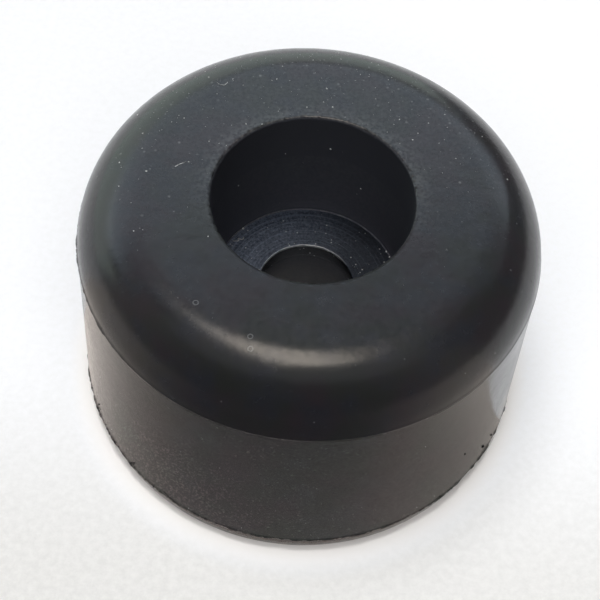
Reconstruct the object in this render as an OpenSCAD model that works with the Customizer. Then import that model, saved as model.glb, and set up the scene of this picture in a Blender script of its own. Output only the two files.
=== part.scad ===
// Screw-on foot: a moulded rubber body with a steel washer moulded into the bottom of its
// screw recess. It stands on its mounting face, with the rounded end that meets the floor up.
// The origin is the centre of the mounting face, and +Z is the axis of the screw.

/* [Rubber body] */
// Height from the mounting face to the flat of the rounded end
body_h = 25; // [22:0.5:40]
// Diameter at the lower mould line, the widest place
base_d = 40.2; // [36:0.2:50]
// Diameter at the upper mould line, where the wall ends and the shoulder begins
shoulder_d = 38.8; // [36:0.2:50]
// Radius of the rounded shoulder
shoulder_r = 5.5; // [3:0.25:7]
// Depth of the rounding's centre below the upper mould line, which leaves a slight corner there
shoulder_drop = 0.5; // [0:0.1:1.5]

/* [Base land] */
// Height of the lower mould line above the mounting face
land_h = 2.2; // [0.6:0.1:3]
// Draw-in of the radius between the lower mould line and the mounting face
land_inset = 0.35; // [0:0.05:0.6]

/* [Mould lines] */
// Height that the trimmed flash stands out from the wall
flash_out = 0.12; // [0.05:0.01:0.3]
// Thickness of the flash at the wall
flash_t = 0.2; // [0.1:0.02:0.5]

/* [Screw recess] */
// Diameter of the recess for the screw's head
recess_d = 16.6; // [12:0.2:20]
// Depth of the recess, from the rounded end down to the washer's face
recess_depth = 12.8; // [8:0.2:16]
// Diameter of the screw hole through the washer and the rubber
hole_d = 8.4; // [4:0.1:10]

/* [Washer] */
// Thickness of the washer
washer_t = 1.6; // [1:0.1:3]
// Width of the washer's rim that is moulded into the recess wall
washer_grip = 1.2; // [0.6:0.1:2.5]
// Rounding of the washer's punched hole edge
washer_edge_r = 0.15; // [0.05:0.05:0.4]

/* [Hidden] */
// Radii
base_r = base_d / 2;
wall_top_r = shoulder_d / 2;
recess_r = recess_d / 2;
hole_r = hole_d / 2;
washer_r = recess_r + washer_grip;
// Heights
washer_top_z = body_h - recess_depth;
washer_bottom_z = washer_top_z - washer_t;
round_z = body_h - shoulder_r;
mould_line_z = round_z + shoulder_drop;
// Radius at which the flat end turns into the shoulder
round_x = wall_top_r - sqrt(pow(shoulder_r, 2) - pow(shoulder_drop, 2));
// Overrun of a cut past the face that it leaves by
overrun = 1;
$fn = 180;

// Ridge of trimmed flash round a mould line, as a section
module flash_section(r, z) {
    polygon([
        [r - flash_out, z - flash_t],
        [r + flash_out, z],
        [r - flash_out, z + flash_t]
    ]);
}

// Drafted wall with the base land that draws in below it, as a section
module wall_section() {
    polygon([
        [0, 0],
        [base_r - land_inset, 0],
        [base_r, land_h],
        [wall_top_r, mould_line_z],
        [0, mould_line_z]
    ]);
}

// Rounded end above the upper mould line, as a section: the shoulder and the flat inside it
module rounded_end_section() {
    intersection() {
        translate([round_x, round_z]) circle(r = shoulder_r);
        translate([round_x, mould_line_z]) square([shoulder_r, shoulder_r]);
    }
    translate([0, mould_line_z]) square([round_x, body_h - mould_line_z]);
}

// Recess, washer seat and screw hole, as one section to take away
module bore_section() {
    translate([0, washer_top_z]) square([recess_r, recess_depth + overrun]);
    translate([0, washer_bottom_z]) square([washer_r, washer_t]);
    translate([0, -overrun]) square([hole_r, washer_bottom_z + 2 * overrun]);
}

// Washer's half section, with its upper hole edge rounded
module washer_section() {
    difference() {
        translate([hole_r, washer_bottom_z]) square([washer_r - hole_r, washer_t]);
        translate([hole_r, washer_top_z - washer_edge_r]) square(washer_edge_r);
    }
    intersection() {
        translate([hole_r + washer_edge_r, washer_top_z - washer_edge_r]) circle(r = washer_edge_r);
        translate([hole_r, washer_top_z - washer_edge_r]) square(washer_edge_r);
    }
}

// Moulded body: one piece of rubber
module rubber_body() {
    color([0.13, 0.135, 0.145])
    rotate_extrude()
    difference() {
        union() {
            wall_section();
            rounded_end_section();
            flash_section(base_r, land_h);
            flash_section(wall_top_r, mould_line_z);
        }
        bore_section();
    }
}

// Punched steel washer that carries the screw's head
module washer() {
    color([0.2, 0.21, 0.23])
    rotate_extrude() washer_section();
}

rubber_body();
washer();
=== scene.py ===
import math
import random

import bpy
from mathutils import Matrix, Vector
from mathutils.bvhtree import BVHTree


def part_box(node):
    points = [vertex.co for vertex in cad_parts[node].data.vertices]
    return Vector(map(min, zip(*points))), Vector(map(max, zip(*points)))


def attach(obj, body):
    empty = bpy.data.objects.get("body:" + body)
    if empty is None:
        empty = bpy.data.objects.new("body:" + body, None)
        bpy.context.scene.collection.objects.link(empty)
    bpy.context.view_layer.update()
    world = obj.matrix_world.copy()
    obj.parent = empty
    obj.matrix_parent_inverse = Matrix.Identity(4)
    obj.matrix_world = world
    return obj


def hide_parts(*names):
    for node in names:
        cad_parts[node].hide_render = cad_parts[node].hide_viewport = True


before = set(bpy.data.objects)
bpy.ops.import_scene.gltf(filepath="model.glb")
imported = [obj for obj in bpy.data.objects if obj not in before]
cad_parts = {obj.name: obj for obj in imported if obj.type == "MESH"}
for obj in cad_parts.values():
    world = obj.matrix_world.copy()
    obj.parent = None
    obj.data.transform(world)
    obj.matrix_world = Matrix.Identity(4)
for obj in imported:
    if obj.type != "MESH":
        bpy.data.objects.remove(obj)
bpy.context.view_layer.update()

MM = 0.001

# ---- Sizes that come from the frame ----
_, body_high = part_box("rubber_body")
washer_low, washer_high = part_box("washer")
BODY_H = body_high.z / MM
WASHER_TOP = washer_high.z / MM
WASHER_BOTTOM = washer_low.z / MM
WASHER_R = washer_high.x / MM

# ---- Driving sizes of the rubber body and the washer ----
FLASH_OUT = 0.12            # the trimmed flash stands out this far at most
FLASH_HALF = 0.2            # half the thickness of the flash at the wall
BASE_R = body_high.x / MM - FLASH_OUT
SHOULDER_LINE_R = 19.4      # radius at the upper mould line
SHOULDER_R = 5.5            # rounding of the shoulder
SHOULDER_DROP = 0.5         # the rounding's centre lies this far under the upper mould line
LAND_H = 2.2                # height of the lower mould line
LAND_INSET = 0.35           # draw-in of the land at the mounting face
RECESS_R = 8.3
HOLE_R = 4.2
RIM_EDGE_R = 0.22           # worn edge round the recess
FOOT_EDGE_R = 0.2           # edge round the mounting face
SEAL_R = 0.1                # feather of rubber where the recess wall meets the washer
HOLE_EDGE_R = 0.12          # rounding of the washer's punched hole edge
WASHER_EDGE_R = 0.08        # the washer's other edges
HAIR_HALF = 0.025           # half the thickness of a hair of lint or a sliver of flash
UPPER_LINE = BODY_H - SHOULDER_R + SHOULDER_DROP
ROUND_Z = BODY_H - SHOULDER_R
ROUND_X = SHOULDER_LINE_R - math.sqrt(SHOULDER_R ** 2 - SHOULDER_DROP ** 2)

# ---- Camera: where it stands, how it tilts and rolls, and its lens ----
CAMERA_AT = (-0.406, -63.986, 108.523)
CAMERA_TILT = 32.873        # degrees from straight down
CAMERA_ROLL = 4.674         # degrees
CAMERA_LENS = 78.0          # on a sensor 36 wide

# ---- Turning ----
PATH_R = 10.0               # radius of the circle that a section is swept along
BODY_STEPS = 870            # steps round the body, so that the flash can break up finely
WASHER_STEPS = 720


# ================ helpers ================

# Settings that many nodes share
SMOOTH = {"interpolation_type": "SMOOTHSTEP"}
COLOUR = {"data_type": "RGBA"}
NUMBER = {"data_type": "FLOAT"}
VECTOR = {"data_type": "FLOAT_VECTOR"}
PLUS = {"operation": "ADD"}
MINUS = {"operation": "SUBTRACT"}
TIMES = {"operation": "MULTIPLY"}
TIMES_PLUS = {"operation": "MULTIPLY_ADD"}
OVER = {"operation": "DIVIDE"}
LARGER = {"operation": "MAXIMUM"}
WITHOUT_SIGN = {"operation": "ABSOLUTE"}
DISTANCE = {"operation": "DISTANCE"}
SCALED = {"operation": "SCALE"}
SEEDED = {"noise_dimensions": "4D"}


def linear(hex_colour):
    """An sRGB hex colour as linear red, green, blue and alpha."""
    parts = [int(hex_colour[i:i + 2], 16) / 255 for i in (1, 3, 5)]
    return [p / 12.92 if p <= 0.04045 else ((p + 0.055) / 1.055) ** 2.4 for p in parts] + [1.0]


def per(size_mm):
    """Scale of a pattern whose cells are this many millimetres across."""
    return 1 / (size_mm * MM)


def feed(node, inputs):
    """Links or sets a node's inputs."""
    for key, value in inputs.items():
        if isinstance(value, bpy.types.NodeSocket):
            node.id_data.links.new(value, node.inputs[key])
        else:
            node.inputs[key].default_value = value


def add(tree, kind, settings=None, inputs=None, output=0):
    """Adds one node, sets and feeds it, and returns one of its outputs. A shader node's kind is
    given without the word ShaderNode."""
    node = tree.nodes.new(kind if "Node" in kind else "ShaderNode" + kind)
    for name, value in (settings or {}).items():
        setattr(node, name, value)
    feed(node, inputs or {})
    return node.outputs[output]


def round_axis(tree, place):
    """Of a place: its X, Y and Z, its distance from the part's axis, and the way out from it."""
    split = add(tree, "SeparateXYZ", None, {0: place}).node.outputs
    level = add(tree, "VectorMath", TIMES, {0: place, 1: (1, 1, 0)})
    radius = add(tree, "VectorMath", {"operation": "LENGTH"}, {0: level}, "Value")
    outwards = add(tree, "VectorMath", {"operation": "NORMALIZE"}, {0: level})
    return split["X"], split["Y"], split["Z"], radius, outwards


def new_tree(name, sockets):
    """A geometry node tree with these named inputs, its inputs as sockets, and its output node."""
    tree = bpy.data.node_groups.new(name, "GeometryNodeTree")
    for label, kind in sockets:
        tree.interface.new_socket(label, in_out="INPUT", socket_type="NodeSocket" + kind)
    tree.interface.new_socket("Geometry", in_out="OUTPUT", socket_type="NodeSocketGeometry")
    return tree, tree.nodes.new("NodeGroupInput").outputs, tree.nodes.new("NodeGroupOutput")


def finished_tree(tree, geometry, given, made):
    """Ends a node tree: what it made, as one real mesh in its finish."""
    real = add(tree, "GeometryNodeRealizeInstances", None, {"Geometry": geometry})
    finished = add(tree, "GeometryNodeSetMaterial", None, {
        "Geometry": real, "Material": given["Finish"]})
    feed(made, {"Geometry": finished})
    return tree


def linked(holder):
    """Puts an object into the scene."""
    bpy.context.scene.collection.objects.link(holder)
    return holder


def grown(name, mesh, tree, values):
    """An object whose plain mesh is what a node tree makes of a starting mesh."""
    piece = linked(bpy.data.objects.new(name, mesh))
    modifier = piece.modifiers.new(name, "NODES")
    modifier.node_group = tree
    for item in tree.interface.items_tree:
        if item.in_out == "INPUT" and item.name in values:
            modifier[item.identifier] = values[item.name]
    evaluated = piece.evaluated_get(bpy.context.evaluated_depsgraph_get())
    finished = bpy.data.meshes.new_from_object(evaluated)
    piece.modifiers.clear()
    piece.data = finished
    finished.name = name
    return piece


def line(start, end, steps):
    """Even steps from start up to end, which is left for what follows."""
    return [
        (start[0] + (end[0] - start[0]) * i / steps, start[1] + (end[1] - start[1]) * i / steps)
        for i in range(steps)
    ]


def arc(centre, radius, start, end, steps):
    """Points on an arc from start to end, in degrees, with both ends."""
    turns = [math.radians(start + (end - start) * i / steps) for i in range(steps + 1)]
    return [(centre[0] + radius * math.cos(t), centre[1] + radius * math.sin(t)) for t in turns]


def section_mesh(name, points):
    """A closed section as a loop of edges. The sweep lays X outwards and Y downwards, so the
    points are taken backwards for the faces to point out of the piece."""
    mesh = bpy.data.meshes.new(name)
    corners = [((r - PATH_R) * MM, -z * MM, 0) for r, z in reversed(points)]
    edges = [(i, (i + 1) % len(corners)) for i in range(len(corners))]
    mesh.from_pydata(corners, edges, [])
    return mesh


# ================ sections ================

def outside_r(z):
    """Radius of the land and the drafted wall at a height."""
    if z < LAND_H:
        return BASE_R - LAND_INSET * (1 - z / LAND_H)
    return BASE_R + (SHOULDER_LINE_R - BASE_R) * (z - LAND_H) / (UPPER_LINE - LAND_H)


def rubber_section():
    """The body's section, from the screw hole's foot, out and up the wall, and down the bore."""
    ridge = [FLASH_HALF * t for t in (-1, -0.6, -0.3, 0, 0.3, 0.6, 1)]
    wall_steps = 14
    clear = 0.3         # from a mould line to the even steps of the wall
    heights = [LAND_H * t for t in (0.3, 0.6, 0.8)]
    heights += [LAND_H + t for t in ridge]
    heights += [
        LAND_H + clear + (UPPER_LINE - LAND_H - 2 * clear) * i / wall_steps
        for i in range(wall_steps + 1)
    ]
    heights += [UPPER_LINE + t for t in ridge if t <= 0]
    start = math.degrees(math.asin(SHOULDER_DROP / SHOULDER_R))
    lip = [math.degrees(t / SHOULDER_R) for t in ridge if t > 0]
    foot_x = BASE_R - LAND_INSET - FOOT_EDGE_R
    points = line((HOLE_R, 0), (foot_x, 0), 3)
    points += arc((foot_x, FOOT_EDGE_R), FOOT_EDGE_R, -90, -5, 4)
    points += [(outside_r(z), z) for z in heights]
    for t in lip[:-1]:
        points += arc((ROUND_X, ROUND_Z), SHOULDER_R, start + t, start + t, 1)[:1]
    points += arc((ROUND_X, ROUND_Z), SHOULDER_R, start + lip[-1], 90, 28)
    rim_x = RECESS_R + RIM_EDGE_R
    worn = 0.45         # finer steps this far from the recess rim
    points += line((ROUND_X, BODY_H), (rim_x + worn, BODY_H), 6)[1:]
    points += line((rim_x + worn, BODY_H), (rim_x, BODY_H), 5)
    points += arc((rim_x, BODY_H - RIM_EDGE_R), RIM_EDGE_R, 90, 180, 5)
    points += line((RECESS_R, BODY_H - RIM_EDGE_R), (RECESS_R, BODY_H - worn), 3)[1:]
    points += line((RECESS_R, BODY_H - worn), (RECESS_R, WASHER_TOP + SEAL_R), 7)
    points += arc((RECESS_R - SEAL_R, WASHER_TOP + SEAL_R), SEAL_R, 0, -80, 3)
    points += line((RECESS_R - SEAL_R, WASHER_TOP), (WASHER_R, WASHER_TOP), 2)
    points += line((WASHER_R, WASHER_TOP), (WASHER_R, WASHER_BOTTOM), 2)
    hole_x = HOLE_R + RIM_EDGE_R
    points += line((WASHER_R, WASHER_BOTTOM), (hole_x, WASHER_BOTTOM), 3)
    points += arc((hole_x, WASHER_BOTTOM - RIM_EDGE_R), RIM_EDGE_R, 90, 180, 3)
    points += line((HOLE_R, WASHER_BOTTOM - RIM_EDGE_R), (HOLE_R, 0), 6)[1:]
    return points


def washer_section():
    """The washer's half section, from its lower hole edge outwards."""
    low, high, edge = WASHER_BOTTOM, WASHER_TOP, WASHER_EDGE_R
    points = arc((HOLE_R + edge, low + edge), edge, 180, 270, 3)
    points += arc((WASHER_R - edge, low + edge), edge, -90, 0, 3)
    points += arc((WASHER_R - edge, high - edge), edge, 0, 90, 3)
    inner = HOLE_R + HOLE_EDGE_R
    points += line((WASHER_R - edge, high), (inner, high), 8)[1:]
    points += arc((inner, high - HOLE_EDGE_R), HOLE_EDGE_R, 90, 180, 6)
    points += line((HOLE_R, high - HOLE_EDGE_R), (HOLE_R, low + edge), 4)[1:]
    return points


# ================ node trees ================

def turned_tree():
    """Turns a section about Z. Flash stands out at two heights: torn and gappy at the lower line,
    and a smooth lip with a few teeth on one side at the upper line. The rim of a bore is worn
    unevenly, and the whole skin is drawn in a little here and there, as a moulding is."""
    tree, given, made = new_tree("turned_moulding", (
        ("Geometry", "Geometry"), ("Steps round", "Int"), ("Lower line", "Float"),
        ("Upper line", "Float"), ("Outside radius", "Float"), ("Flash half width", "Float"),
        ("Lower flash", "Float"), ("Upper flash", "Float"), ("Torn length", "Float"),
        ("Toothed side", "Vector"), ("Rim radius", "Float"), ("Rim height", "Float"),
        ("Rim reach", "Float"), ("Rim wear", "Float"), ("Rim wear length", "Float"),
        ("Draw-in", "Float"), ("Draw-in length", "Float"), ("Seed", "Float"),
        ("Finish", "Material")))
    section = add(tree, "GeometryNodeMeshToCurve", None, {"Mesh": given["Geometry"]})
    path = add(tree, "GeometryNodeCurvePrimitiveCircle", None, {
        "Resolution": given["Steps round"], "Radius": PATH_R * MM})
    turned = add(tree, "GeometryNodeCurveToMesh", None, {"Curve": path, "Profile Curve": section})
    place = add(tree, "GeometryNodeInputPosition")
    _, _, height, radius, outwards = round_axis(tree, place)
    outside = add(tree, "Math", {"operation": "GREATER_THAN"},
                  {0: radius, 1: given["Outside radius"]})

    # Flash: how much of it is left at each turn, and how it stands out at each line
    per_tear = add(tree, "Math", OVER, {0: 1.0, 1: given["Torn length"]})
    tear = add(tree, "TexNoise", SEEDED, {
        "Vector": place, "W": given["Seed"], "Scale": per_tear, "Detail": 3.0, "Roughness": 0.7})
    torn = add(tree, "MapRange", SMOOTH, {
        "Value": tear, "From Min": 0.42, "From Max": 0.6, "To Min": 0.15})
    toothed = add(tree, "VectorMath", {"operation": "DOT_PRODUCT"},
                  {0: outwards, 1: given["Toothed side"]}, "Value")
    toothed = add(tree, "MapRange", SMOOTH, {
        "Value": toothed, "From Min": 0.86, "From Max": 0.97})
    teeth = add(tree, "Math", TIMES, {0: torn, 1: toothed})
    lip = add(tree, "Math", TIMES_PLUS, {0: teeth, 1: 0.65, 2: 0.35})
    moves = []
    for line_name, flash_name, amount in (("Lower line", "Lower flash", torn),
                                          ("Upper line", "Upper flash", lip)):
        away = add(tree, "Math", MINUS, {0: height, 1: given[line_name]})
        away = add(tree, "Math", WITHOUT_SIGN, {0: away})
        out = add(tree, "MapRange", None, {
            "Value": away, "From Min": 0.0, "From Max": given["Flash half width"],
            "To Min": 1.0, "To Max": 0.0})
        for share in (outside, amount, given[flash_name]):
            out = add(tree, "Math", TIMES, {0: out, 1: share})
        moves.append(add(tree, "VectorMath", SCALED, {0: outwards, "Scale": out}))

    # Wear round the rim of the bore, and the slow unevenness of the skin, both into the piece
    rim = add(tree, "CombineXYZ", None, {"X": given["Rim radius"], "Y": given["Rim height"]})
    here = add(tree, "CombineXYZ", None, {"X": radius, "Y": height})
    from_rim = add(tree, "VectorMath", DISTANCE, {0: here, 1: rim}, "Value")
    at_rim = add(tree, "MapRange", SMOOTH, {
        "Value": from_rim, "From Min": 0.0, "From Max": given["Rim reach"],
        "To Min": 1.0, "To Max": 0.0})
    for length_name, depth_name, mask, detail, low, high in (
            ("Rim wear length", "Rim wear", at_rim, 3.0, 0.5, 0.8),
            ("Draw-in length", "Draw-in", 1.0, 1.0, 0.0, 1.0)):
        scale = add(tree, "Math", OVER, {0: 1.0, 1: given[length_name]})
        wave = add(tree, "TexNoise", SEEDED, {
            "Vector": place, "W": given["Seed"], "Scale": scale, "Detail": detail})
        wave = add(tree, "MapRange", None, {"Value": wave, "From Min": low, "From Max": high})
        for share in (given[depth_name], mask, -1.0):
            wave = add(tree, "Math", TIMES, {0: wave, 1: share})
        facing = add(tree, "GeometryNodeInputNormal")
        moves.append(add(tree, "VectorMath", SCALED, {0: facing, "Scale": wave}))
    move = moves[0]
    for other in moves[1:]:
        move = add(tree, "VectorMath", PLUS, {0: move, 1: other})

    shaped = add(tree, "GeometryNodeSetPosition", None, {"Geometry": turned, "Offset": move})
    smooth = add(tree, "GeometryNodeSetShadeSmooth", None, {"Geometry": shaped})
    return finished_tree(tree, smooth, given, made)


def grain_tree():
    """Puts one small lump on each point of the starting mesh, each turned and shaped its own way.
    The points carry the lumps' sizes."""
    tree, given, made = new_tree("settled_grains", (
        ("Geometry", "Geometry"), ("Least stretch", "Float"), ("Most stretch", "Float"),
        ("Seed", "Int"), ("Finish", "Material")))
    size = add(tree, "GeometryNodeInputNamedAttribute", NUMBER, {"Name": "size"})
    lump = add(tree, "GeometryNodeMeshIcoSphere", None, {"Radius": 1.0, "Subdivisions": 1})
    turn = add(tree, "FunctionNodeRandomValue", VECTOR,
               {0: (0, 0, 0), 1: (6.3, 6.3, 6.3), "Seed": given["Seed"]})
    low, high = (add(tree, "CombineXYZ", None, {axis: given[name] for axis in "XYZ"})
                 for name in ("Least stretch", "Most stretch"))
    next_seed = add(tree, "Math", PLUS, {0: given["Seed"], 1: 1.0})
    stretch = add(tree, "FunctionNodeRandomValue", VECTOR, {0: low, 1: high, "Seed": next_seed})
    scale = add(tree, "VectorMath", SCALED, {0: stretch, "Scale": size})
    placed = add(tree, "GeometryNodeInstanceOnPoints", None, {
        "Points": given["Geometry"], "Instance": lump, "Rotation": turn, "Scale": scale})
    return finished_tree(tree, placed, given, made)


def strand_tree():
    """Sweeps a fine round section along each line of the starting mesh."""
    tree, given, made = new_tree("fine_strands", (
        ("Geometry", "Geometry"), ("Half width", "Float"), ("Finish", "Material")))
    along = add(tree, "GeometryNodeMeshToCurve", None, {"Mesh": given["Geometry"]})
    ring = add(tree, "GeometryNodeCurvePrimitiveCircle", None, {
        "Resolution": 5, "Radius": given["Half width"]})
    tube = add(tree, "GeometryNodeCurveToMesh", None, {
        "Curve": along, "Profile Curve": ring, "Fill Caps": True})
    return finished_tree(tree, tube, given, made)


# ================ materials ================

def new_material(name):
    """A material with only a Principled shader: the material, its tree, its shader, and the
    place on the part that its patterns follow."""
    material = bpy.data.materials.new(name)
    material.use_nodes = True
    tree = material.node_tree
    place = add(tree, "TexCoord", output="Object")
    return material, tree, tree.nodes["Principled BSDF"], place


def moulded_rubber():
    """Moulded rubber, black right through: satin where the mould was polished, uneven on the
    handled wall, matt where flash was torn off, with pale dust caught in its skin."""
    material, tree, shader, place = new_material("moulded_rubber")
    across, depth, height, radius, _ = round_axis(tree, place)

    # Where on the part: what it follows, from where to where in mm, and its strength at each
    on = {}
    for name, along, start, end, first, last, settings in (
            ("wall", height, UPPER_LINE - 0.1, UPPER_LINE + 0.1, 1.0, 0.0, SMOOTH),
            ("skirt", height, LAND_H - 0.2, LAND_H + 0.1, 1.0, 0.0, SMOOTH),
            ("inside", radius, RECESS_R + 0.02, RECESS_R + 0.12, 1.0, 0.0, None),
            ("outer", radius, RECESS_R + 1, RECESS_R + 2, 0.0, 1.0, None),
            ("past hole", radius, 5, 5.5, 0.0, 1.0, None),
            ("up recess", height, WASHER_TOP, BODY_H, 0.0, 1.0, None),
            ("top dust", depth, -8, 16, 0.0, 0.7, None),
            ("wall dust", height, LAND_H, LAND_H + 9, 0.5, 0.15, None),
            ("left dust", across, -18, -6, 2.0, 1.0, None),
            ("left grit", across, -19, -1, 0.2, 0.026, SMOOTH),
            ("rim halo", depth, -6, 4, 0.0, 0.028, SMOOTH),
            ("rim shine", depth, -5, 2, 0.2, 0.85, SMOOTH),
            ("top face", height, BODY_H - 0.15, BODY_H, 0.0, 1.0, None)):
        on[name] = add(tree, "MapRange", settings, {
            "Value": along, "From Min": start * MM, "From Max": end * MM,
            "To Min": first, "To Max": last})

    # Noises, by the size of their cells, and what is cut out of them
    noise = {}
    for name, size, detail, roughness in (
            ("drift", 6, 3, 0.6), ("cloud", 3.5, 4, 0.65), ("swell", 1.4, 2, 0.5),
            ("stubs", 0.7, 3, 0.7), ("grain", 0.42, 3, 0.65), ("film", 0.3, 1, 0.5),
            ("grit", 0.22, 2, 0.6)):
        noise[name] = add(tree, "TexNoise", None, {
            "Vector": place, "Scale": per(size), "Detail": detail, "Roughness": roughness})
    for name, value, start, end, first, last, settings in (
            ("drift", noise["drift"], 0.38, 0.62, 0.0, 1.0, SMOOTH),
            ("slate", noise["cloud"], 0.42, 0.66, 0.0, 1.0, SMOOTH),
            ("smear", noise["cloud"], 0.36, 0.7, 0.0, 0.009, SMOOTH),
            ("patchy", noise["cloud"], 0.3, 0.7, -0.03, 0.03, None),
            ("speckled", noise["grain"], 0.3, 0.7, -0.04, 0.04, None),
            ("scuffed", noise["grain"], 0.46, 0.58, 0.0, 1.0, SMOOTH),
            ("stubs", noise["stubs"], 0.42, 0.52, 0.0, 1.0, SMOOTH),
            ("haze", noise["film"], 0.3, 0.75, 0.0, 1.0, None),
            ("grit", noise["grit"], 0.5, 0.66, 0.0, 1.0, SMOOTH),
            ("skin", on["wall"], 0.0, 1.0, 0.23, 0.19, None),
            ("skin haze", on["wall"], 0.0, 1.0, 0.002, 0.017, None),
            ("shine", on["skirt"], 0.0, 1.0, 0.5, 0.32, None)):
        on[name] = add(tree, "MapRange", settings, {
            "Value": value, "From Min": start, "From Max": end, "To Min": first, "To Max": last})

    # Slow drifts of colour: plum, olive and slate blacks, and a browner land at the foot, its warm
    # tone painted reflection of the paper there
    colour = linear("#211c1f")
    for share, tone in (("drift", "#1d1e1c"), ("slate", "#1c1d21"), ("skirt", "#3b2a21")):
        colour = add(tree, "Mix", COLOUR, {0: on[share], 6: colour, 7: linear(tone)}, 2)
    # Inside the recess and the hole a lighter, bluer grey: partly a duller, dusty skin, partly
    # painted light that lifts the deep recess
    film = linear("#3d3e45")
    film = add(tree, "Mix", COLOUR, {0: on["up recess"], 6: film, 7: linear("#2f3035")}, 2)
    film = add(tree, "Mix", COLOUR, {0: on["past hole"], 6: linear("#3d3e43"), 7: film}, 2)
    colour = add(tree, "Mix", COLOUR, {0: on["inside"], 6: colour, 7: film}, 2)
    rough = add(tree, "Math", PLUS, {0: on["skin"], 1: on["patchy"]})
    rough = add(tree, "Math", PLUS, {0: rough, 1: on["speckled"]})
    rough = add(tree, "Mix", NUMBER, {0: on["inside"], 2: rough, 3: 0.6}, 0)

    # Torn stubs along the lower mould line, and the shadowed crease under the upper lip
    crease = add(tree, "MapRange", SMOOTH, {
        "Value": on["drift"], "From Min": 0.2, "From Max": 0.8, "To Min": 0.1, "To Max": 0.5})
    shine = on["shine"]
    for line_z, half, amount in ((LAND_H - 0.05, 0.16, on["stubs"]),
                                 (UPPER_LINE - 0.16, 0.14, crease)):
        away = add(tree, "Math", MINUS, {0: height, 1: line_z * MM})
        away = add(tree, "Math", WITHOUT_SIGN, {0: away})
        mark = add(tree, "MapRange", SMOOTH, {
            "Value": away, "From Min": 0.4 * half * MM, "From Max": half * MM,
            "To Min": on["outer"], "To Max": 0.0})
        mark = add(tree, "Math", TIMES, {0: mark, 1: amount})
        colour = add(tree, "Mix", COLOUR, {0: mark, 6: colour, 7: linear("#09090a")}, 2)
        rough = add(tree, "Mix", NUMBER, {0: mark, 2: rough, 3: 0.85}, 0)
        shine = add(tree, "Mix", NUMBER, {0: mark, 2: shine, 3: 0.1}, 0)

    # Fine dust caught in the skin: soft dots, thicker at the back of the top and low on the wall
    share = add(tree, "Math", TIMES, {0: on["wall dust"], 1: on["left dust"]})
    share = add(tree, "Mix", NUMBER, {0: on["wall"], 2: on["top dust"], 3: share}, 0)
    share = add(tree, "Math", TIMES, {0: share, 1: on["outer"]})
    dust = 0.0
    for size, strength in ((0.9, 0.07), (0.5, 0.07)):
        cells = add(tree, "TexVoronoi", None, {"Vector": place, "Scale": per(size)}).node.outputs
        dot = add(tree, "MapRange", SMOOTH, {
            "Value": cells["Distance"], "From Min": 0.04, "From Max": 0.2,
            "To Min": 1.0, "To Max": 0.0})
        luck = add(tree, "SeparateXYZ", None, {0: cells["Color"]}).node.outputs
        present = add(tree, "Math", {"operation": "LESS_THAN"}, {0: luck["X"], 1: share})
        weight = add(tree, "MapRange", None, {
            "Value": luck["Y"], "To Min": 0.2 * strength, "To Max": 1.6 * strength})
        dot = add(tree, "Math", TIMES, {0: dot, 1: present})
        dust = add(tree, "Math", TIMES_PLUS, {0: dot, 1: weight, 2: dust})
    thick = add(tree, "Math", TIMES_PLUS, {0: share, 1: 0.03, 2: on["skin haze"]})
    dust = add(tree, "Math", TIMES_PLUS, {0: on["haze"], 1: thick, 2: dust})

    # Grit and soft smears rubbed into the wall, most of them low on the left
    low_left = add(tree, "MapRange", SMOOTH, {
        "Value": height, "From Min": LAND_H * MM, "From Max": (LAND_H + 17) * MM,
        "To Min": on["left grit"], "To Max": 0.02})
    grit = add(tree, "Math", TIMES, {0: on["grit"], 1: low_left})
    grit = add(tree, "Math", PLUS, {0: grit, 1: on["smear"]})
    grit = add(tree, "Math", TIMES, {0: grit, 1: on["wall"]})
    dust = add(tree, "Math", TIMES_PLUS, {0: grit, 1: on["outer"], 2: dust})

    # Scuffed rim of the recess, and dust packed in the corner against the washer
    uneven = add(tree, "MapRange", None, {
        "Value": on["haze"], "From Min": 0.2, "From Max": 0.8, "To Min": 0.2, "To Max": 1.8})
    halo = add(tree, "MapRange", SMOOTH, {
        "Value": radius, "From Min": (RECESS_R + 0.2) * MM, "From Max": (RECESS_R + 2.2) * MM,
        "To Min": on["rim halo"], "To Max": 0.0})
    halo = add(tree, "Math", TIMES, {0: halo, 1: on["top face"]})
    halo = add(tree, "Math", TIMES, {0: halo, 1: uneven})
    dust = add(tree, "Math", PLUS, {0: dust, 1: halo})
    here = add(tree, "CombineXYZ", None, {"X": radius, "Y": height})
    for ring_z, reach, strength, shine_left in ((BODY_H, 0.4, 0.01, on["rim shine"]),
                                                (WASHER_TOP, 0.2, 0.05, 0.2)):
        gap = add(tree, "VectorMath", DISTANCE, {0: here, 1: (RECESS_R * MM, ring_z * MM, 0)},
                  "Value")
        near = add(tree, "MapRange", SMOOTH, {
            "Value": gap, "From Min": 0.0, "From Max": reach * MM,
            "To Min": strength, "To Max": 0.0})
        near = add(tree, "Math", TIMES, {0: near, 1: on["scuffed"]})
        dust = add(tree, "Math", LARGER, {0: dust, 1: near})
        dulled = add(tree, "MapRange", None, {
            "Value": gap, "From Min": 0.2 * MM, "From Max": 0.35 * MM,
            "To Min": shine_left, "To Max": 1.0})
        shine = add(tree, "Math", TIMES, {0: shine, 1: dulled})
    matt = add(tree, "MapRange", SMOOTH, {
        "Value": gap, "From Min": 0.1 * MM, "From Max": 0.35 * MM, "To Min": 1.0, "To Max": 0.0})
    rough = add(tree, "Mix", NUMBER, {0: matt, 2: rough, 3: 0.9}, 0)

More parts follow.
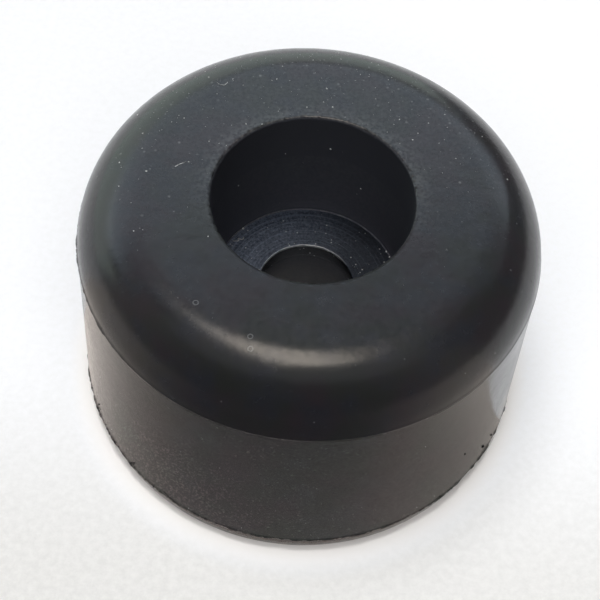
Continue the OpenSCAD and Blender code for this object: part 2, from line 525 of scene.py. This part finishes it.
    # Rings that drops of water dried to
    for x, y, z, ring in DRIED_DROPS:
        gap = add(tree, "VectorMath", DISTANCE, {0: place, 1: (x * MM, y * MM, z * MM)}, "Value")
        off = add(tree, "Math", MINUS, {0: gap, 1: ring * MM})
        off = add(tree, "Math", WITHOUT_SIGN, {0: off})
        edge = add(tree, "MapRange", SMOOTH, {
            "Value": off, "From Min": 0.01 * MM, "From Max": 0.07 * MM,
            "To Min": 0.1, "To Max": 0.0})
        dust = add(tree, "Math", LARGER, {0: dust, 1: edge})
    pale = add(tree, "Mix", COLOUR, {0: on["drift"], 6: linear("#efd9d2"), 7: linear("#d7e5cf")}, 2)
    pale = add(tree, "Mix", COLOUR, {0: on["wall"], 6: linear("#e3e6e4"), 7: pale}, 2)
    colour = add(tree, "Mix", COLOUR, {0: dust, 6: colour, 7: pale}, 2)

    relief = add(tree, "Math", TIMES_PLUS, {0: noise["swell"], 1: 2.6, 2: noise["grain"]})
    bump = add(tree, "Bump", None, {"Height": relief, "Strength": 1.0, "Distance": 0.006 * MM})
    feed(shader, {"Base Color": colour, "Roughness": rough, "Specular IOR Level": shine,
                  "Normal": bump, "IOR": 1.52})
    return material


DRIED_DROPS = (             # place, and radius of the ring
    (-8.3, -11.0, 25.0, 0.2), (-3.9, -13.6, 25.0, 0.19), (-3.8, -14.6, 24.87, 0.19),
)


def punched_steel():
    """Dull zinc-plated steel, punched from sheet: grey metal with fine marks round the hole, small
    bright nicks, painted shade round the hole, darker with fewer marks on the right, and bright
    where screws have rubbed the hole's edge."""
    material, tree, shader, place = new_material("punched_steel")
    across, _, height, radius, _ = round_axis(tree, place)
    tarnish = add(tree, "TexNoise", None, {
        "Vector": place, "Scale": per(0.24), "Detail": 4.0, "Roughness": 0.8})
    wobble = add(tree, "Math", TIMES_PLUS, {0: tarnish, 1: 0.12 * MM, 2: radius})
    rings = add(tree, "TexNoise", {"noise_dimensions": "1D"}, {
        "W": wobble, "Scale": per(0.28), "Detail": 3.0, "Roughness": 0.7})
    streaky = add(tree, "Math", TIMES_PLUS, {0: rings, 1: 0.4, 2: tarnish})
    patches = add(tree, "TexNoise", None, {"Vector": place, "Scale": per(1.6), "Detail": 2.0})
    knots = add(tree, "TexNoise", None, {"Vector": place, "Scale": per(0.5), "Detail": 2.0})
    nicks = add(tree, "TexVoronoi", None, {"Vector": place, "Scale": per(0.7)}, "Distance")

    # Where on the washer, in mm, and what is cut out of the noises
    on = {}
    for name, along, start, end, first, last in (
            ("darker_right", across, -3, 5.5, 0.0, 0.86),
            ("inner", radius, HOLE_R, HOLE_R + 2.5, 0.4, 0.0),
            ("up hole", height, WASHER_TOP - 2 * HOLE_EDGE_R, WASHER_TOP - HOLE_EDGE_R, 0.0, 1.0),
            ("worn", radius, HOLE_R + 0.3 * HOLE_EDGE_R, HOLE_R + 1.2 * HOLE_EDGE_R, 1.0, 0.0),
            ("fading", across, 2.2, 3.7, 1.0, 0.0),
            ("whole", across, -2.2, -1, 0.3, 1.0)):
        on[name] = add(tree, "MapRange", SMOOTH, {
            "Value": along, "From Min": start * MM, "From Max": end * MM,
            "To Min": first, "To Max": last})
    for name, value, start, end, first, last, settings in (
            ("tone", streaky, 0.52, 0.86, 0.0, 1.0, None),
            ("groove", rings, 0.52, 0.66, 0.0, 0.5, SMOOTH),
            ("patches", patches, 0.4, 0.6, 0.0, 1.0, SMOOTH),
            ("nicks", nicks, 0.05, 0.13, 0.7, 0.0, SMOOTH),
            ("knots", knots, 0.42, 0.54, 0.0, 1.0, SMOOTH),
            ("rough", tarnish, 0.3, 0.7, 0.62, 0.42, None)):
        on[name] = add(tree, "MapRange", settings, {
            "Value": value, "From Min": start, "From Max": end, "To Min": first, "To Max": last})

    # Darker and with fewer ring marks towards the right
    away_from_right = add(tree, "Math", MINUS, {0: 1.0, 1: on["darker_right"]})
    groove = add(tree, "Math", TIMES, {0: on["groove"], 1: on["patches"]})
    groove = add(tree, "Math", TIMES, {0: groove, 1: away_from_right})
    # Painted shade: the colour darkens over a band round the hole
    colour = linear("#414b5b")
    for share, tone in ((on["tone"], "#8591a6"), (on["darker_right"], "#363a42"), (groove, "#9aa6bd"),
                        (on["inner"], "#22262c")):
        colour = add(tree, "Mix", COLOUR, {0: share, 6: colour, 7: linear(tone)}, 2)
    colour = add(tree, "Mix", COLOUR, {0: on["up hole"], 6: linear("#44474e"), 7: colour}, 2)
    colour = add(tree, "Mix", COLOUR, {0: on["nicks"], 6: colour, 7: linear("#eef2f6")}, 2)

    # The hole's edge, rubbed bright, fading towards the right and in broken knots at the left
    worn = add(tree, "Math", TIMES, {0: on["worn"], 1: on["up hole"]})
    worn = add(tree, "Math", TIMES, {0: worn, 1: on["fading"]})
    broken = add(tree, "Math", LARGER, {0: on["knots"], 1: on["whole"]})
    worn = add(tree, "Math", TIMES, {0: worn, 1: broken})
    colour = add(tree, "Mix", COLOUR, {0: worn, 6: colour, 7: linear("#e2e6ea")}, 2)
    relief = add(tree, "Math", TIMES_PLUS, {0: rings, 1: 0.35, 2: tarnish})
    bump = add(tree, "Bump", None, {"Height": relief, "Strength": 1.0, "Distance": 0.02 * MM})
    feed(shader, {"Base Color": colour, "Metallic": 1.0, "Roughness": on["rough"], "Normal": bump})
    return material


def torn_rubber():
    """The same rubber where it was torn: deep black and matt."""
    material, tree, shader, place = new_material("torn_rubber")
    tone = add(tree, "TexNoise", None, {"Vector": place, "Scale": per(0.1)})
    colour = add(tree, "Mix", COLOUR, {0: tone, 6: linear("#08080a"), 7: linear("#17171a")}, 2)
    feed(shader, {"Base Color": colour, "Roughness": 0.8, "Specular IOR Level": 0.12})
    return material


def pale_dust():
    """Workshop dust and lint: matt, off-white, each grain a little lighter or darker."""
    material, tree, shader, place = new_material("pale_dust")
    tone = add(tree, "TexNoise", None, {"Vector": place, "Scale": per(0.6)})
    tone = add(tree, "MapRange", None, {"Value": tone, "From Min": 0.35, "From Max": 0.65})
    colour = add(tree, "Mix", COLOUR, {0: tone, 6: linear("#858684"), 7: linear("#c8c9c5")}, 2)
    feed(shader, {"Base Color": colour, "Roughness": 0.95})
    return material


PAPER_FOOT = (20, 22.5)     # from here to here the paper's painted warm light and its painted glow change at the part's foot


def plain_paper():
    """White copy paper: matt, with a faint mottle of fibres; painted shade makes it a touch darker
    in front, and painted light takes that shade off close to the part.
    """
    material, tree, shader, place = new_material("plain_paper")
    across, depth, _, radius, _ = round_axis(tree, place)
    # Painted shade: coloured darker towards the front, and taken back off close to the part by
    # painted light
    close = add(tree, "MapRange", SMOOTH, {
        "Value": radius, "From Min": 20.5 * MM, "From Max": 23.5 * MM,
        "To Min": 0.1, "To Max": 1.0})
    front = add(tree, "MapRange", SMOOTH, {
        "Value": depth, "From Min": -26 * MM, "From Max": 0.0, "To Min": close, "To Max": 0.0})
    fibres = add(tree, "TexNoise", None, {
        "Vector": place, "Scale": per(0.7), "Detail": 4.0, "Roughness": 0.7})
    fibres = add(tree, "MapRange", None, {"Value": fibres, "From Min": 0.35, "From Max": 0.65})
    light = add(tree, "Mix", COLOUR, {0: fibres, 6: linear("#f7f7f5"), 7: linear("#fbfbfa")}, 2)
    shade = add(tree, "Mix", COLOUR, {0: fibres, 6: linear("#e1dfd9"), 7: linear("#ebe9e3")}, 2)
    colour = add(tree, "Mix", COLOUR, {0: front, 6: light, 7: shade}, 2)
    # Painted warm light at the part's foot, over its contact shadow
    foot = add(tree, "MapRange", SMOOTH, {
        "Value": radius, "From Min": PAPER_FOOT[0] * MM, "From Max": PAPER_FOOT[1] * MM,
        "To Min": 1.0, "To Max": 0.0})
    colour = add(tree, "Mix", COLOUR, {0: foot, 6: colour, 7: linear("#fffbf4")}, 2)

    # Painted light: a glow of its own for the camera alone, stronger towards the right, where it
    # lifts the part's shadow, and none at the part's foot
    white = add(tree, "MapRange", SMOOTH, {
        "Value": across, "From Min": -25 * MM, "From Max": 20 * MM,
        "To Min": 0.01, "To Max": 0.045})
    white = add(tree, "MapRange", SMOOTH, {
        "Value": radius, "From Min": PAPER_FOOT[0] * MM, "From Max": PAPER_FOOT[1] * MM,
        "To Min": 0.0, "To Max": white})
    seen = add(tree, "LightPath", output="Is Camera Ray")
    white = add(tree, "Math", TIMES, {0: white, 1: seen})
    feed(shader, {"Base Color": colour, "Roughness": 0.9, "Specular IOR Level": 0.2,
                  "Emission Color": (1, 1, 1, 1), "Emission Strength": white})
    return material


# ================ stage ================

def flat_stage(name, corners, material):
    """One flat sheet of the stage, from its corners in millimetres."""
    mesh = bpy.data.meshes.new(name)
    mesh.from_pydata([[c * MM for c in corner] for corner in corners], [], [range(len(corners))])
    mesh.materials.append(material)
    sheet = linked(bpy.data.objects.new(name, mesh))


def lamp(name, elevation, azimuth, distance, size, brightness, colour):
    """A soft rectangular lamp that looks at the part. Azimuth 0 is over +X, 90 over +Y, and a
    brightness of 1 is as bright as a white sheet in plain light."""
    light = bpy.data.lights.new(name, "AREA")
    light.shape = "RECTANGLE"
    light.size, light.size_y = [s * MM for s in size]
    light.energy = brightness * math.pi * light.size * light.size_y
    light.color = linear(colour)[:3]
    e, a = math.radians(elevation), math.radians(azimuth)
    away = Vector((math.cos(a) * math.cos(e), math.sin(a) * math.cos(e), math.sin(e)))
    aim = Vector((0, 0, BODY_H * MM))
    holder = linked(bpy.data.objects.new(name, light))
    holder.location = aim + away * distance * MM
    holder.rotation_euler = away.to_track_quat("Z", "Y").to_euler()
    holder.visible_camera = False
    return holder


def studio_world(colour, strength):
    """Even soft light from everywhere."""
    world = bpy.data.worlds.new("studio")
    world.use_nodes = True
    background = world.node_tree.nodes["Background"]
    feed(background, {"Color": linear(colour), "Strength": strength})
    bpy.context.scene.world = world


FLOOR_HALF = 2000
CARD_NEAR = 20              # the card starts this far from the part's axis
CARD_LOW = 0.15             # lies this far over the floor
CARD_FAR = 300              # goes out to here
CARD_TOP = 400              # and stands up to here
CARD_TURN = -100            # degrees, where its middle is
CARD_SPREAD = 84            # degrees to each side of its middle
CARD_DARKEST = (-0.12, -0.9928, 0)      # the way to its darkest place


def card_finish():
    """Grey card that glows a little: darkest straight ahead and where it stands up, as bright as
    the paper at its two ends, and shaded close to the part on the right."""
    material, tree, shader, place = new_material("card")
    _, _, height, radius, outwards = round_axis(tree, place)
    ahead = add(tree, "VectorMath", {"operation": "DOT_PRODUCT"},
                {0: outwards, 1: CARD_DARKEST}, "Value")
    across = add(tree, "SeparateXYZ", None, {0: outwards}, "X")
    near = add(tree, "MapRange", SMOOTH, {
        "Value": radius, "From Min": 1.4 * CARD_NEAR * MM, "From Max": 2.1 * CARD_NEAR * MM,
        "To Min": 0.27, "To Max": 0.07})
    side = add(tree, "MapRange", SMOOTH, {
        "Value": ahead, "From Min": 0.12, "From Max": 1.0, "To Min": 1.0, "To Max": near})
    upright = add(tree, "MapRange", SMOOTH, {
        "Value": height, "From Min": 1 * MM, "From Max": 60 * MM, "To Min": 1.0, "To Max": 0.3})
    lit = add(tree, "Math", TIMES, {0: side, 1: upright})
    shaded = add(tree, "MapRange", SMOOTH, {
        "Value": across, "From Min": 0.4, "From Max": 0.9, "To Min": 0.0, "To Max": 0.57})
    close = add(tree, "MapRange", SMOOTH, {
        "Value": radius, "From Min": CARD_NEAR * MM, "From Max": 1.8 * CARD_NEAR * MM,
        "To Min": shaded, "To Max": 0.0})
    kept = add(tree, "Math", MINUS, {0: 1.0, 1: close})
    foot = add(tree, "MapRange", SMOOTH, {
        "Value": radius, "From Min": 1.05 * CARD_NEAR * MM, "From Max": 1.35 * CARD_NEAR * MM,
        "To Min": 0.02, "To Max": 0.0})
    lit = add(tree, "Math", TIMES_PLUS, {0: lit, 1: kept, 2: foot})
    warm = add(tree, "MapRange", None, {"Value": lit, "From Min": 0.08, "From Max": 0.36})
    tint = add(tree, "Mix", COLOUR, {0: warm, 6: linear("#f0eeff"), 7: linear("#fff5ed")}, 2)
    glow = add(tree, "Emission", None, {"Color": tint, "Strength": lit})
    tree.nodes.remove(shader)
    feed(tree.nodes["Material Output"], {"Surface": glow})
    return material


def front_card():
    """A dark card in front, which only reflections see: it keeps the shoulder deep."""
    mesh = bpy.data.meshes.new("front_card")
    steps = 24
    corners, faces = [], []
    for i in range(steps + 1):
        turn = math.radians(CARD_TURN - CARD_SPREAD + 2 * CARD_SPREAD * i / steps)
        for r, z in ((CARD_NEAR, CARD_LOW), (CARD_FAR, CARD_LOW), (CARD_FAR, CARD_TOP)):
            corners.append((r * MM * math.cos(turn), r * MM * math.sin(turn), z * MM))
    for i in range(steps):
        for k in (0, 1):
            a = 3 * i + k
            faces.append((a, a + 3, a + 4, a + 1))
    mesh.from_pydata(corners, [], faces)
    mesh.materials.append(card_finish())
    card = linked(bpy.data.objects.new("front_card", mesh))
    card.visible_camera = False
    card.visible_shadow = False
    card.visible_diffuse = False


def camera():
    """The camera, looking down on the part with a little roll."""
    lens = bpy.data.cameras.new("camera")
    lens.lens = CAMERA_LENS
    lens.clip_start = 1 * MM
    lens.clip_end = 10 * FLOOR_HALF * MM
    holder = linked(bpy.data.objects.new("camera", lens))
    place = Matrix.Translation(Vector(CAMERA_AT) * MM)
    tilt = Matrix.Rotation(math.radians(CAMERA_TILT), 4, "X")
    roll = Matrix.Rotation(math.radians(CAMERA_ROLL), 4, "Z")
    holder.matrix_world = place @ tilt @ roll
    bpy.context.scene.camera = holder


# ================ what has settled on it ================

def at(azimuth, radius, height):
    """A place round the part's axis, from degrees and millimetres, in metres."""
    turn = math.radians(azimuth)
    return Vector((radius * math.cos(turn), radius * math.sin(turn), height)) * MM


def faces_of(piece):
    """A finished piece's faces, to find the nearest place on them."""
    mesh = piece.data
    return BVHTree.FromPolygons([v.co for v in mesh.vertices], [p.vertices for p in mesh.polygons])


def settled(name, faces, grains, sink, stretch, seed, finish):
    """One piece of many small grains, each sunk by a share of its half width into the face
    nearest to its place."""
    mesh = bpy.data.meshes.new(name)
    spots = []
    for azimuth, radius, height, size in grains:
        spot, facing, _, _ = faces.find_nearest(at(azimuth, radius, height))
        spots.append(spot - facing * size * sink * MM)
    mesh.from_pydata(spots, [], [])
    sizes = mesh.attributes.new("size", "FLOAT", "POINT")
    for item, grain in zip(sizes.data, grains):
        item.value = grain[3] * MM
    piece = grown(name, mesh, grain_tree(), {
        "Least stretch": stretch[0], "Most stretch": stretch[1], "Seed": seed, "Finish": finish})
    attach(piece, "root")
    return piece


# How many grains are scattered on the top, the wall, the recess wall and the washer
TOP_GRAINS, WALL_GRAINS, RECESS_GRAINS, WASHER_GRAINS = 330, 170, 40, 90
# Crumbs along the lower line, on the wall at the left, and larger ones along the line there
LINE_CRUMBS, WALL_CRUMBS, LEFT_CRUMBS = 420, 60, 70
HAIR_STEPS = 6              # steps from one of a hair's places to the next
# Grains and crumbs that stand out: degrees from +X, radius, height, and half width
DUST_SPOTS = (
    (131, 9.3, 25, 0.11), (123.6, 8.6, 25, 0.09), (112, 9.4, 25, 0.06), (97, 9.5, 25, 0.07),
    (84, 9.7, 25, 0.06), (53, 10.4, 25, 0.08), (175, 13.75, 25, 0.09), (160, 15.5, 24.8, 0.07),
    (166, 14.8, 24.9, 0.06), (172, 16.25, 24.5, 0.07), (174, 15.9, 24.6, 0.05),
    (175, 18, 23.2, 0.07), (-161, 14.7, 24.9, 0.06), (-160.6, 14, 25, 0.05),
    (82, 8.3, 21.2, 0.09), (109, 8.3, 20.5, 0.055), (142, 8.3, 19, 0.085), (60, 8.3, 17.3, 0.055),
    (118, 6.4, 12.2, 0.07), (138, 7.3, 12.2, 0.09), (143, 6, 12.2, 0.07), (67, 4.7, 12.2, 0.07),
    (43.5, 5.7, 12.2, 0.08), (26.5, 6.7, 12.2, 0.1), (31, 8.1, 12.2, 0.08),
    (91.2, 4.28, 12.2, 0.06), (46, 4.5, 12.2, 0.11), (42.5, 4.6, 12.2, 0.12),
    (166.4, 10.7, 25, 0.09),
)
# Hairs of lint and slivers of flash, each by places along it
LINT_HAIRS = (
    ((170.6, 11.6, 25), (168.5, 11.25, 25), (166.8, 10.9, 25)),
    ((128.3, 14.5, 25), (127.9, 14.1, 25), (126.6, 13.9, 25), (125.2, 14.05, 25)),
)
WASHER_HAIRS = (
    ((149.8, 8, 12.2), (147.5, 7.6, 12.2), (146, 7.8, 12.2), (145, 7.4, 12.2),
     (142.5, 7.5, 12.2)),
)
FLASH_SLIVERS = (
    ((-123.4, 20, 2.8), (-121.5, 20.1, 2.5), (-120, 20.1, 2.3)),
)
RUBBER_CRUMBS = (
    (-152.5, 20, 3.8, 0.16), (-151.5, 20, 3.4, 0.1), (-133.9, 20, 3.1, 0.13),
    (-31.8, 20, 4.2, 0.15), (-41.5, 19.9, 7.6, 0.09), (-27.1, 20, 3.8, 0.12),
    (-48, 20, 2.3, 0.13), (-49.5, 20, 2.2, 0.1), (-58, 20, 2.3, 0.08), (-64, 20, 2.3, 0.08),
    (-135.4, 20, 2.2, 0.1), (-122, 20, 2.2, 0.09),
)


def half_width(draw, least, spread, power):
    """A grain's half width in mm: most are near the least, and a few are larger by the spread."""
    return least + spread * draw.random() ** power


def settled_dust(body_faces, washer_faces, finish):
    """The grains that stand out, and a fine scatter: thicker towards the back of the top, low on
    the wall and down in the recess."""
    draw = random.Random(11)
    top, wall, deep, ring = [], [], [], []
    top_from, top_to, recess_to, front_share = 8.6, 19, 24, 0.04
    while len(top) < TOP_GRAINS:
        azimuth, radius = draw.uniform(0, 360), math.sqrt(draw.uniform(top_from ** 2, top_to ** 2))
        backwards = max(0.0, radius / top_to * math.sin(math.radians(azimuth)))
        if draw.random() < front_share + (1 - front_share) * backwards:
            sunk = max(0.0, radius - ROUND_X)
            top.append((azimuth, radius, ROUND_Z + math.sqrt(SHOULDER_R ** 2 - sunk ** 2),
                        half_width(draw, 0.022, 0.05, 3)))
    for _ in range(WALL_GRAINS):
        wall.append((draw.uniform(0, 360), BASE_R, LAND_H + 0.4 + 15 * draw.random() ** 2.2,
                     half_width(draw, 0.018, 0.035, 4)))
    for _ in range(RECESS_GRAINS):
        deep.append((draw.uniform(0, 360), RECESS_R, draw.uniform(WASHER_TOP + 0.5, recess_to),
                     half_width(draw, 0.015, 0.03, 4)))
    for _ in range(WASHER_GRAINS):
        ring.append((draw.uniform(0, 360), draw.uniform(HOLE_R + 0.3, RECESS_R - 0.2), WASHER_TOP,
                     half_width(draw, 0.015, 0.03, 4)))
    # WASHER_TOP reads just under 12.2, so the grains placed at 12.2 do not count as low: they go
    # to the rubber nearest to them, most of them out of sight under the washer
    low = [grain for grain in DUST_SPOTS if grain[2] <= WASHER_TOP]
    high = [grain for grain in DUST_SPOTS if grain[2] > WASHER_TOP]
    settled("dust_on_rubber", body_faces, high + top + wall + deep, sink=0.2, stretch=(0.6, 1.3),
            seed=4, finish=finish)
    settled("dust_on_washer", washer_faces, low + ring, sink=0.2, stretch=(0.6, 1.3),
            seed=8, finish=finish)


def strands(name, faces, hairs, finish):
    """One piece of fine hairs that lie along the faces nearest to their places."""
    mesh = bpy.data.meshes.new(name)
    corners, edges = [], []
    for hair in hairs:
        places = [at(*spot) for spot in hair]
        for i, (start, end) in enumerate(zip(places, places[1:])):
            before = places[max(0, i - 1)]
            after = places[min(len(places) - 1, i + 2)]
            first_lean, last_lean = (end - before) / 2, (after - start) / 2
            for k in range(HAIR_STEPS + (end is places[-1])):
                t = k / HAIR_STEPS
                bend = (start * (2 * t ** 3 - 3 * t ** 2 + 1) + end * (3 * t ** 2 - 2 * t ** 3)
                        + first_lean * (t ** 3 - 2 * t ** 2 + t) + last_lean * (t ** 3 - t ** 2))
                spot, facing, _, _ = faces.find_nearest(bend)
                if i + k > 0:
                    edges.append((len(corners) - 1, len(corners)))
                corners.append(spot + facing * 0.5 * HAIR_HALF * MM)
    mesh.from_pydata(corners, edges, [])
    piece = grown(name, mesh, strand_tree(), {"Half width": HAIR_HALF * MM, "Finish": finish})
    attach(piece, "root")
    return piece


def flash_crumbs(body_faces, finish):
    """Crumbs of torn flash that still hang on the rubber, most of them at the lower line."""
    draw = random.Random(23)
    crumbs = list(RUBBER_CRUMBS)
    for _ in range(LINE_CRUMBS):
        crumbs.append((draw.uniform(0, 360), BASE_R + 0.05, LAND_H + draw.gauss(0, 0.06),
                       half_width(draw, 0.03, 0.05, 2)))
    for _ in range(WALL_CRUMBS):
        crumbs.append((draw.uniform(-175, -120), BASE_R, LAND_H + 0.2 + 3 * draw.random() ** 2,
                       half_width(draw, 0.02, 0.04, 2)))
    for _ in range(LEFT_CRUMBS):
        crumbs.append((draw.uniform(-165, -100), BASE_R + 0.05, LAND_H + draw.gauss(0, 0.08),
                       half_width(draw, 0.05, 0.07, 2)))
    piece = settled("flash_crumbs", body_faces, crumbs, sink=0.35, stretch=(0.6, 1.4),
                    seed=6, finish=finish)


# ================ the part ================

def build_part():
    """The rubber body and the washer, turned, and what clings to them."""
    turned = turned_tree()
    body = grown("rubber_body_moulding", section_mesh("rubber_section", rubber_section()), turned, {
        "Steps round": BODY_STEPS,
        "Lower line": LAND_H * MM,
        "Upper line": UPPER_LINE * MM,
        "Outside radius": (SHOULDER_LINE_R - 1) * MM,
        "Flash half width": FLASH_HALF * MM,
        "Lower flash": FLASH_OUT * MM,
        "Upper flash": FLASH_OUT * MM,
        "Torn length": 0.9 * MM,
        "Toothed side": (-0.94, -0.34, 0.0),
        "Rim radius": RECESS_R * MM,
        "Rim height": BODY_H * MM,
        "Rim reach": 0.35 * MM,
        "Rim wear": 0.14 * MM,
        "Rim wear length": 0.5 * MM,
        "Draw-in": 0.015 * MM,
        "Draw-in length": 7 * MM,
        "Seed": 3.0,
        "Finish": moulded_rubber(),
    })
    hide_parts("rubber_body")
    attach(body, "root")
    # The steel has no flash, so the values for it stay at nothing
    washer = grown("washer_turned", section_mesh("washer_section", washer_section()), turned, {
        "Steps round": WASHER_STEPS,
        "Rim radius": HOLE_R * MM,
        "Rim height": WASHER_TOP * MM,
        "Rim reach": 0.3 * MM,
        "Rim wear": 0.06 * MM,
        "Rim wear length": 0.5 * MM,
        "Draw-in": 0.01 * MM,
        "Draw-in length": 2 * MM,
        "Seed": 5.0,
        "Finish": punched_steel(),
    })
    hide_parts("washer")
    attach(washer, "root")
    body_faces, washer_faces = faces_of(body), faces_of(washer)
    dust, torn = pale_dust(), torn_rubber()
    settled_dust(body_faces, washer_faces, dust)
    strands("lint_on_rubber", body_faces, LINT_HAIRS, dust)
    strands("lint_on_washer", washer_faces, WASHER_HAIRS, dust)
    flash_crumbs(body_faces, torn)
    slivers = strands("flash_slivers", body_faces, FLASH_SLIVERS, torn)


build_part()
flat_stage("floor", [(x * FLOOR_HALF, y * FLOOR_HALF, 0) for x, y in
                     ((-1, -1), (1, -1), (1, 1), (-1, 1))], plain_paper())
front_card()
studio_world("#f2f4f8", 0.13)

# Lamps that only show in the part's shine
for name, elevation, azimuth, distance, size, brightness, colour in (
        ("highlight", 84.4, 115, 600, (200, 265), 5.6, "#fff3e4"),
        ("wings", 84.4, 85, 600, (640, 260), 0.3, "#e6efff"),
        ("front_glow", 74, -90, 1400, (2400, 700), 0.26, "#f0f3ff"),
        ("window_top", 64, 100, 1500, (3500, 560), 0.25, "#dceeff"),
        ("window_high", 44, 104, 1500, (3500, 560), 1.45, "#dff0ff"),
        ("window_low", 15, 122, 1500, (3500, 950), 1.34, "#e1f2eb")):
    shine = lamp(name, elevation, azimuth, distance, size, brightness, colour)
    shine.visible_diffuse = False

# Lamps that light it without showing in its shine
for name, elevation, azimuth, distance, size, brightness in (
        ("overhead", 90, 0, 1500, 200, 52), ("key", 79, 155, 1200, 400, 8.5),
        ("fill", 62, -95, 1400, 1400, 2)):
    soft = lamp(name, elevation, azimuth, distance, (size, size), brightness, "#fafbff")
    soft.visible_glossy = False
camera()
bpy.context.scene.view_settings.view_transform = "Standard"
